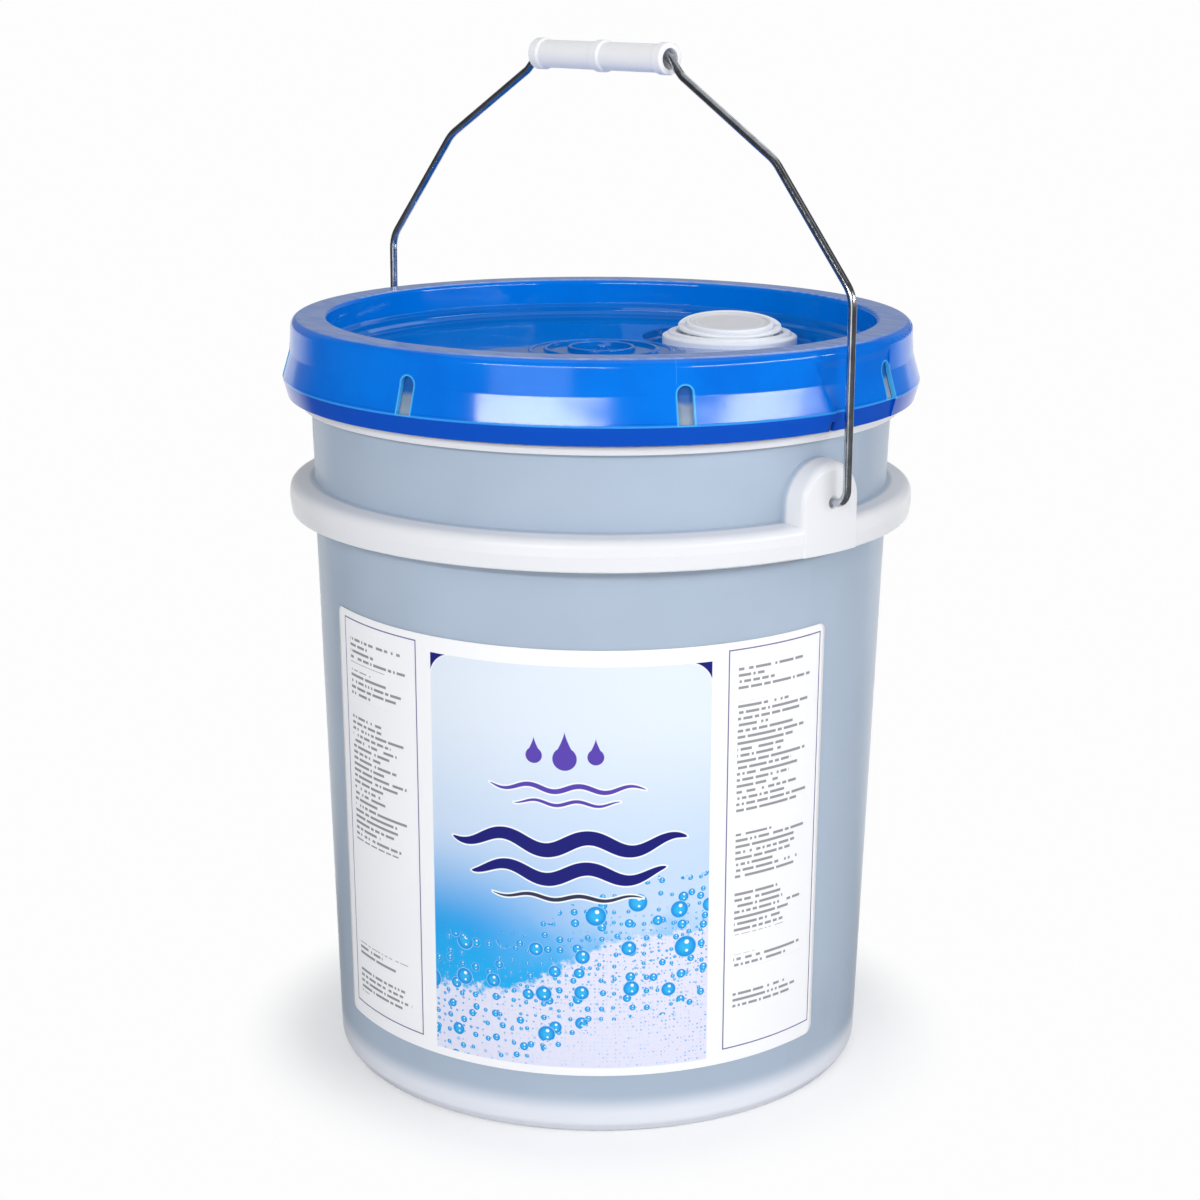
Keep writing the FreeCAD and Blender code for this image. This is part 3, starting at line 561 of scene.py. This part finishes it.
def gate_nub(name, centre):
    """Quarter circle carried round: radius = r cos t, z = top + r sin t, closed under the panel."""
    t = np.linspace(90, 0, 7) * np.pi / 180
    dome = np.stack([NUB_R * np.cos(t), PANEL_TOP + NUB_R * np.sin(t)], -1)
    dome[0, 0] = 0.0
    foot = np.array([[NUB_R, PANEL_TOP - 0.0002], [0.0, PANEL_TOP - 0.0002]])
    nub = grid_piece(name, turned_points(np.concatenate([dome, foot]), centre, turns=24), lid_finish, "lid",
                     wrap_rows=True)
    shell = bmesh.new()
    shell.from_mesh(nub.data)
    bmesh.ops.remove_doubles(shell, verts=shell.verts, dist=1e-6)
    bmesh.ops.recalc_face_normals(shell, faces=shell.faces)
    shell.to_mesh(nub.data)
    shell.free()


gate_nub("gate_nub_left", NUB_SPOTS[0])
gate_nub("gate_nub_right", NUB_SPOTS[1])

# %% [markdown]
# The spout's clamp ring, neck, cap and pull rings are white polyethylene.  The disc in the cap is a
# warmer grey.  The folded film and the seals are softer and duller.

# %% White fittings
def white_plastic(name, colour, rough):
    finish = Finish(name, Roughness=rough, IOR=1.52)
    spot, x, y, z = finish.place()
    finish.colour(finish.mix(finish.noise(spot, 60.0, 3.0), colour, tuple(0.93 * c for c in colour[:3]) + (1,)))
    finish.bump(finish.noise(spot, 900.0, 3.0), 0.00004, 0.6)
    return finish


def cap_plastic():
    """White, with a warmer grey disc inside 21.3 mm of the cap's leaning axis and a thin light line on it."""
    finish = Finish("cap_plastic", Roughness=0.36, IOR=1.52)
    spot, x, y, z = finish.place()
    arm = finish.vector("SUBTRACT", spot, SPOUT)
    away = finish.vector("LENGTH", finish.vector("CROSS_PRODUCT", arm, SPOUT_LEAN), out=1)
    disc = finish.step(away, 0.0215, 0.0211)
    # The thin light ring on the disc is a painted highlight along a low ridge.
    line = finish.math("MULTIPLY", finish.step(away, 0.0168, 0.0171), finish.step(away, 0.0177, 0.0174))
    high = finish.step(finish.vector("DOT_PRODUCT", arm, SPOUT_LEAN, out=1), 0.0042, 0.0048)
    grey = finish.mix(finish.noise(spot, 90.0, 3.0), tone(224, 224, 229), tone(214, 215, 221))
    grey = finish.mix(finish.math("MULTIPLY", line, 0.5), grey, tone(246, 247, 250))
    finish.colour(finish.mix(finish.math("MULTIPLY", disc, high), tone(244, 247, 252), grey))
    finish.bump(finish.noise(spot, 900.0, 3.0), 0.00004, 0.6)
    return finish


fitting_white = white_plastic("fitting_white", tone(244, 247, 252), 0.36)
film_white = white_plastic("film_white", tone(226, 230, 238), 0.5)
seal_white = white_plastic("seal_white", tone(222, 222, 216), 0.62)
grip_white = white_plastic("grip_white", tone(250, 250, 252), 0.33)
for name in ("spout_flange", "spout_neck", "pull_ring_front", "pull_ring_rear"):
    dress(name, fitting_white)
dress("spout_bellows", film_white)
dress("cap_liner", seal_white)
dress("lid_gasket", seal_white)
dress("spout_cap", cap_plastic())
dress("grip", grip_white)

# %% [markdown]
# The bail is drawn steel wire with a bright zinc coat.  Drawing leaves fine lines along it, so the
# roughness is broken up by noise that is stretched the tall way.

# %% Zinc-coated wire
def zinc_wire():
    finish = Finish("zinc_wire", Metallic=1.0, Roughness=0.3)
    spot, x, y, z = finish.place()
    long_way = finish.node("Mapping", Vector=spot, Scale=(1400.0, 1400.0, 60.0))
    lines = finish.noise(long_way, 1.0, 3.0)
    dull = finish.noise(spot, 150.0, 4.0, 0.6)
    finish.colour(finish.mix(finish.step(dull, 0.35, 0.7), tone(206, 210, 216), tone(176, 181, 188)))
    finish.rough(finish.node("MapRange", Value=lines, From_Min=0.3, From_Max=0.7, To_Min=0.16, To_Max=0.28))
    finish.bump(lines, 0.000004, 0.4)
    return finish


dress("bail_wire", zinc_wire())

# %% [markdown]
# The liquid is seen only when the lid is off.  It is a pale blue, and its wet surface is smooth.

# %% Liquid
def liquid_finish():
    finish = Finish("blue_liquid", Roughness=0.08, IOR=1.36)
    spot, x, y, z = finish.place()
    finish.colour(finish.mix(finish.noise(spot, 12.0, 2.0), tone(120, 150, 196), tone(132, 160, 204)))
    return finish


dress("detergent", liquid_finish())

# %% [markdown]
# The label is a sheet of coated paper with straight edges, wrapped on the cone of the wall, so its
# two ends rise a little.  It is a grid of its width and height, with corners rounded by pulling each
# end row in along a circle.  Its own UV map is the flat sheet, and the print is drawn on that map.

# %% Label print
PRINT_WIDE = LABEL_WIDE * 1000
PRINT_HIGH = LABEL_HIGH * 1000


def print_finish():
    """Everything is in millimetres on the flat sheet: u from its middle, v up from its lower edge."""
    f = Finish("label_print", Roughness=0.38, IOR=1.5)
    tree = f.tree
    sheet = tree.nodes.new("ShaderNodeUVMap")
    sheet.uv_map = "sheet"
    split = tree.nodes.new("ShaderNodeSeparateXYZ")
    f.put(split.inputs[0], sheet.outputs[0])
    u = f.math("MULTIPLY_ADD", split.outputs[0], PRINT_WIDE, -PRINT_WIDE / 2)
    v = f.math("MULTIPLY", split.outputs[1], PRINT_HIGH)
    spot = f.node("CombineXYZ", X=u, Y=v, Z=0.0)

    def within(value, low, high, edge=0.12):
        return f.math("MULTIPLY", f.step(value, low - edge, low + edge), f.step(value, high + edge, high - edge))

    def times(*parts):
        whole = parts[0]
        for part in parts[1:]:
            whole = f.math("MULTIPLY", whole, part)
        return whole

    def pill(middle_u, middle_v, half, r):
        """Distance outside a bar with round ends: length(max(|u| - half, 0), v) - r."""
        du = f.math("MAXIMUM", f.math("SUBTRACT", f.math("ABSOLUTE", f.math("SUBTRACT", u, middle_u)), half), 0.0)
        dv = f.math("SUBTRACT", v, middle_v)
        return f.math("SUBTRACT", f.math("SQRT", f.math("ADD", f.math("MULTIPLY", du, du),
                                                       f.math("MULTIPLY", dv, dv))), r)

    def bubbles(cell, big, small, chance, shift):
        """Round spots on a jittered grid: (inside, share of the radius, offset from the middle)."""
        moved = f.vector("ADD", spot, (shift, 3.7 * shift, 0.0))
        made = tree.nodes.new("ShaderNodeTexVoronoi")
        made.voronoi_dimensions = "2D"
        f.put(made.inputs["Vector"], moved)
        made.inputs["Scale"].default_value = 1.0 / cell
        made.inputs["Randomness"].default_value = 0.45
        pick = tree.nodes.new("ShaderNodeSeparateColor")
        f.put(pick.inputs[0], made.outputs["Color"])
        size = f.math("MULTIPLY_ADD", f.math("POWER", pick.outputs[0], 2.0), big - small, small)
        share = f.math("DIVIDE", f.math("MULTIPLY", made.outputs["Distance"], cell), size)
        keep = f.math("LESS_THAN", pick.outputs[1], chance)
        inside = f.math("MULTIPLY", f.step(share, 1.04, 0.97), keep)
        offset = f.vector("SUBTRACT", moved, made.outputs["Position"])
        return inside, share, offset, size

    # The picture: pale air, a sheet of bright water on the left, and foam that climbs to the right
    low_noise = f.noise(spot, 0.045, 3.0)
    wave = f.math("MULTIPLY", f.math("SINE", f.math("DIVIDE", u, 15.0)), 5.0)
    crest = f.math("ADD", f.math("MULTIPLY_ADD", u, 0.34, 56.0), wave)
    crest = f.math("ADD", crest, f.math("MULTIPLY_ADD", f.noise(spot, 0.16, 4.0, 0.65), 26.0, -13.0))
    above = f.math("SUBTRACT", v, crest)
    air = f.mix(f.step(v, 188.0, 100.0), tone(224, 233, 245), tone(196, 217, 242))
    air = f.mix(times(f.step(v, 124.0, 66.0), f.step(u, 48.0, -50.0)), air, tone(30, 160, 236))
    water = f.mix(f.step(f.math("MULTIPLY_ADD", low_noise, 40.0, v), 66.0, 104.0), tone(0, 172, 240), air)
    foam = f.mix(f.noise(spot, 0.5, 5.0, 0.7), tone(214, 219, 243), tone(236, 232, 247))
    picture = f.mix(f.step(above, 2.5, -2.5), water, foam)
    dense = f.step(f.math("ADD", f.math("MULTIPLY", u, 0.35), f.math("MULTIPLY", above, 0.25)), -30.0, 22.0)
    band = f.step(f.math("ABSOLUTE", f.math("ADD", above, 6.0)), 42.0, 12.0)
    for cell, big, small, chance, shift, where in (
            (2.0, 0.55, 0.20, 0.60, 11.0, f.math("MULTIPLY", dense, f.step(above, 9.0, -4.0))),
            (3.7, 0.98, 0.40, 0.70, 29.0, f.math("MULTIPLY", band, f.step(above, 18.0, 6.0))),
            (7.0, 1.90, 1.00, 0.88, 53.0, f.math("GREATER_THAN", band, 0.15)),
            (12.5, 3.35, 1.90, 0.86, 71.0, f.math("GREATER_THAN", band, 0.25)),
            (21.0, 5.70, 3.60, 0.80, 97.0, f.math("GREATER_THAN", band, 0.40))):
        inside, share, offset, size = bubbles(cell, big, small, chance, shift)
        inside = times(inside, where)
        skin = f.mix(f.step(share, 0.25, 0.95), tone(38, 182, 240), tone(0, 140, 226))
        skin = f.mix(f.step(share, 0.90, 1.0), skin, tone(176, 222, 248))
        picture = f.mix(inside, picture, skin)
        for up, glint in ((0.42, 0.17), (-0.38, 0.10)):
            shine = f.vector("SUBTRACT", offset, f.node("CombineXYZ", X=f.math("MULTIPLY", size, 0.12),
                                                       Y=f.math("MULTIPLY", size, up), Z=0.0))
            near = f.math("DIVIDE", f.vector("LENGTH", shine, out=1), size)
            picture = f.mix(f.math("MULTIPLY", inside, f.step(near, glint + 0.05, glint)), picture, tone(250, 252, 255))

    # A plain mark of three drops, and blank bars where a title would stand
    violet, navy = tone(88, 62, 176), tone(12, 16, 122)
    for middle, low, tall in ((-13.0, 158.0, 13.0), (1.5, 155.0, 19.0), (16.0, 158.0, 13.0)):
        r = 0.30 * tall
        ball = pill(middle, low + r, 0.0, r)
        rise = f.math("DIVIDE", f.math("SUBTRACT", v, low + r), tall - r)
        cone = f.math("SUBTRACT", f.math("ABSOLUTE", f.math("SUBTRACT", u, middle)),
                      f.math("MULTIPLY", f.math("POWER", f.math("SUBTRACT", 1.0, rise, clamp=True), 1.35), r))
        cone = f.math("MAXIMUM", cone, f.math("MAXIMUM", f.math("SUBTRACT", low + r, v),
                                              f.math("SUBTRACT", v, low + tall)))
        shape = f.math("MINIMUM", ball, cone)
        picture = f.mix(f.step(shape, 0.12, -0.12), picture, violet)

    def ribbon(middle_v, half, length, swing, thick):
        """Wave of the given length and swing whose stroke thins to nothing at both ends."""
        turn = f.math("MULTIPLY", f.math("SUBTRACT", u, 2.4), 2 * math.pi / length)
        wave = f.math("MULTIPLY_ADD", f.math("SINE", turn), swing, middle_v)
        slope = f.math("MULTIPLY", f.math("COSINE", turn), swing * 2 * math.pi / length)
        lean = f.math("SQRT", f.math("MULTIPLY_ADD", slope, slope, 1.0))
        off = f.math("DIVIDE", f.math("ABSOLUTE", f.math("SUBTRACT", v, wave)), lean)
        along = f.math("DIVIDE", f.math("SUBTRACT", u, 2.4), half)
        taper = f.math("SQRT", f.math("SUBTRACT", 1.0, f.math("MULTIPLY", along, along), clamp=True))
        past = f.math("SUBTRACT", f.math("ABSOLUTE", f.math("SUBTRACT", u, 2.4)), half)
        return f.math("MAXIMUM", f.math("SUBTRACT", off, f.math("MULTIPLY", taper, thick)), past)

    for middle_v, half, length, swing, thick, ink in (
            (146.0, 37.0, 24.0, 1.5, 1.25, violet), (138.8, 25.0, 20.0, 1.1, 0.85, violet),
            (118.5, 57.0, 41.0, 3.4, 3.6, navy), (103.5, 47.0, 39.0, 3.0, 3.4, navy),
            (91.5, 36.0, 24.0, 1.1, 1.0, tone(52, 54, 84))):
        stroke = ribbon(middle_v, half, length, swing, thick)
        picture = f.mix(f.step(stroke, 0.95, 0.55), picture, tone(244, 248, 255))
        picture = f.mix(f.step(stroke, 0.12, -0.12), picture, ink)
    over = f.math("SUBTRACT", f.math("ABSOLUTE", f.math("SUBTRACT", u, 2.4)), 68.4 - 12.5)
    top = f.math("SUBTRACT", v, 205.5 - 12.5)
    round_off = f.math("SQRT", f.math("ADD", f.math("POWER", f.math("MAXIMUM", over, 0.0), 2.0),
                                      f.math("POWER", f.math("MAXIMUM", top, 0.0), 2.0)))
    picture = f.mix(f.step(round_off, 12.4, 12.6), picture, tone(240, 242, 250))
    picture = f.mix(f.step(round_off, 13.0, 13.3), picture, navy)
    ground = f.mix(f.noise(spot, 0.03, 2.0), tone(250, 250, 252), tone(245, 245, 249))
    page = f.mix(times(within(u, -66.0, 70.8), within(v, 4.2, 205.5)), ground, picture)

    # Two framed columns of grey lines, like small print seen from afar
    row = f.math("DIVIDE", v, 3.05)
    for left, right, low, high, blocks in (
            (-130.5, -75.0, 7.5, 209.5, ((188.0, 202.0), (170.0, 184.5), (96.0, 162.0), (34.0, 41.0), (14.0, 28.0))),
            (79.5, 134.5, 7.5, 209.5, ((190.0, 201.0), (128.0, 184.0), (94.0, 118.0), (66.0, 88.0), (48.0, 56.0),
                                       (28.0, 37.0)))):
        middle, half = (left + right) / 2, (right - left) / 2
        box_u = f.math("SUBTRACT", f.math("ABSOLUTE", f.math("SUBTRACT", u, middle)), half)
        box_v = f.math("SUBTRACT", f.math("ABSOLUTE", f.math("SUBTRACT", v, (low + high) / 2)), (high - low) / 2)
        border = f.math("ABSOLUTE", f.math("MAXIMUM", box_u, box_v))
        page = f.mix(f.step(border, 0.42, 0.22), page, tone(104, 98, 152))
        words = f.node("TexWhiteNoise", settings={"noise_dimensions": "2D"},
                       Vector=f.node("CombineXYZ", X=f.math("FLOOR", f.math("DIVIDE", u, 1.25)),
                                     Y=f.math("FLOOR", row), Z=0.0))
        ends = f.node("TexWhiteNoise", settings={"noise_dimensions": "1D"}, W=f.math("FLOOR", row))
        reach = f.math("MULTIPLY_ADD", f.math("POWER", ends, 0.35), 2 * half - 12.0, left + 6.0)
        line = f.math("MULTIPLY", f.math("LESS_THAN", words, 0.80), within(f.math("FRACT", row), 0.30, 0.74, 0.06))
        line = times(line, f.math("GREATER_THAN", u, left + 5.0), f.math("LESS_THAN", u, reach))
        shown = None
        for start, end in blocks:
            block = within(v, start, end, 0.05)
            shown = block if shown is None else f.math("MAXIMUM", shown, block)
        page = f.mix(f.math("MULTIPLY", f.math("MULTIPLY", line, shown), 0.72), page, tone(66, 66, 78))
    f.colour(page)
    fibre = f.noise(spot, 3.0, 4.0)
    f.rough(f.node("MapRange", Value=fibre, From_Min=0.3, From_Max=0.7, To_Min=0.34, To_Max=0.44))
    f.bump(f.noise(spot, 0.05, 2.0), 0.0006, 0.4)
    return f


# %% Label sheet
def label_sheet():
    """Cone wrap: angle = s / R(z), z raised by draft R (1 - cos angle), radius = wall + glue + paper.

    s runs to half the width, less the corner circle's r - sqrt(r^2 - (r - d)^2) at distance d from an edge.
    """
    edge = LABEL_CORNER * (1 - np.cos(np.linspace(0, np.pi / 2, 9)))
    height = np.concatenate([edge, np.linspace(LABEL_CORNER, LABEL_HIGH - LABEL_CORNER, 44)[1:-1],
                             LABEL_HIGH - edge[::-1]])[:, None]
    short = np.clip(LABEL_CORNER - np.minimum(height, LABEL_HIGH - height), 0, None)
    pulled = LABEL_CORNER - np.sqrt(np.clip(LABEL_CORNER ** 2 - short ** 2, 0, None))
    s = np.linspace(-1, 1, 121)[None, :] * (LABEL_WIDE / 2 - pulled)
    z = LABEL_LOW + height
    angle = s / wall_radius(z)
    z = z + DRAFT * wall_radius(z) * (1 - np.cos(angle))
    r = wall_radius(z) + LABEL_OFF
    points = np.stack([r * np.cos(LABEL_MID + angle), r * np.sin(LABEL_MID + angle), z], -1)
    uv = np.stack([s / LABEL_WIDE + 0.5, np.broadcast_to(height / LABEL_HIGH, s.shape)], -1)
    piece = grid_piece("label_sheet", points, print_finish(), "pail_body", uv=uv)
    paper = piece.modifiers.new("paper", "SOLIDIFY")
    paper.thickness, paper.offset = LABEL_PAPER, -1.0
    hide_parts("label")


label_sheet()
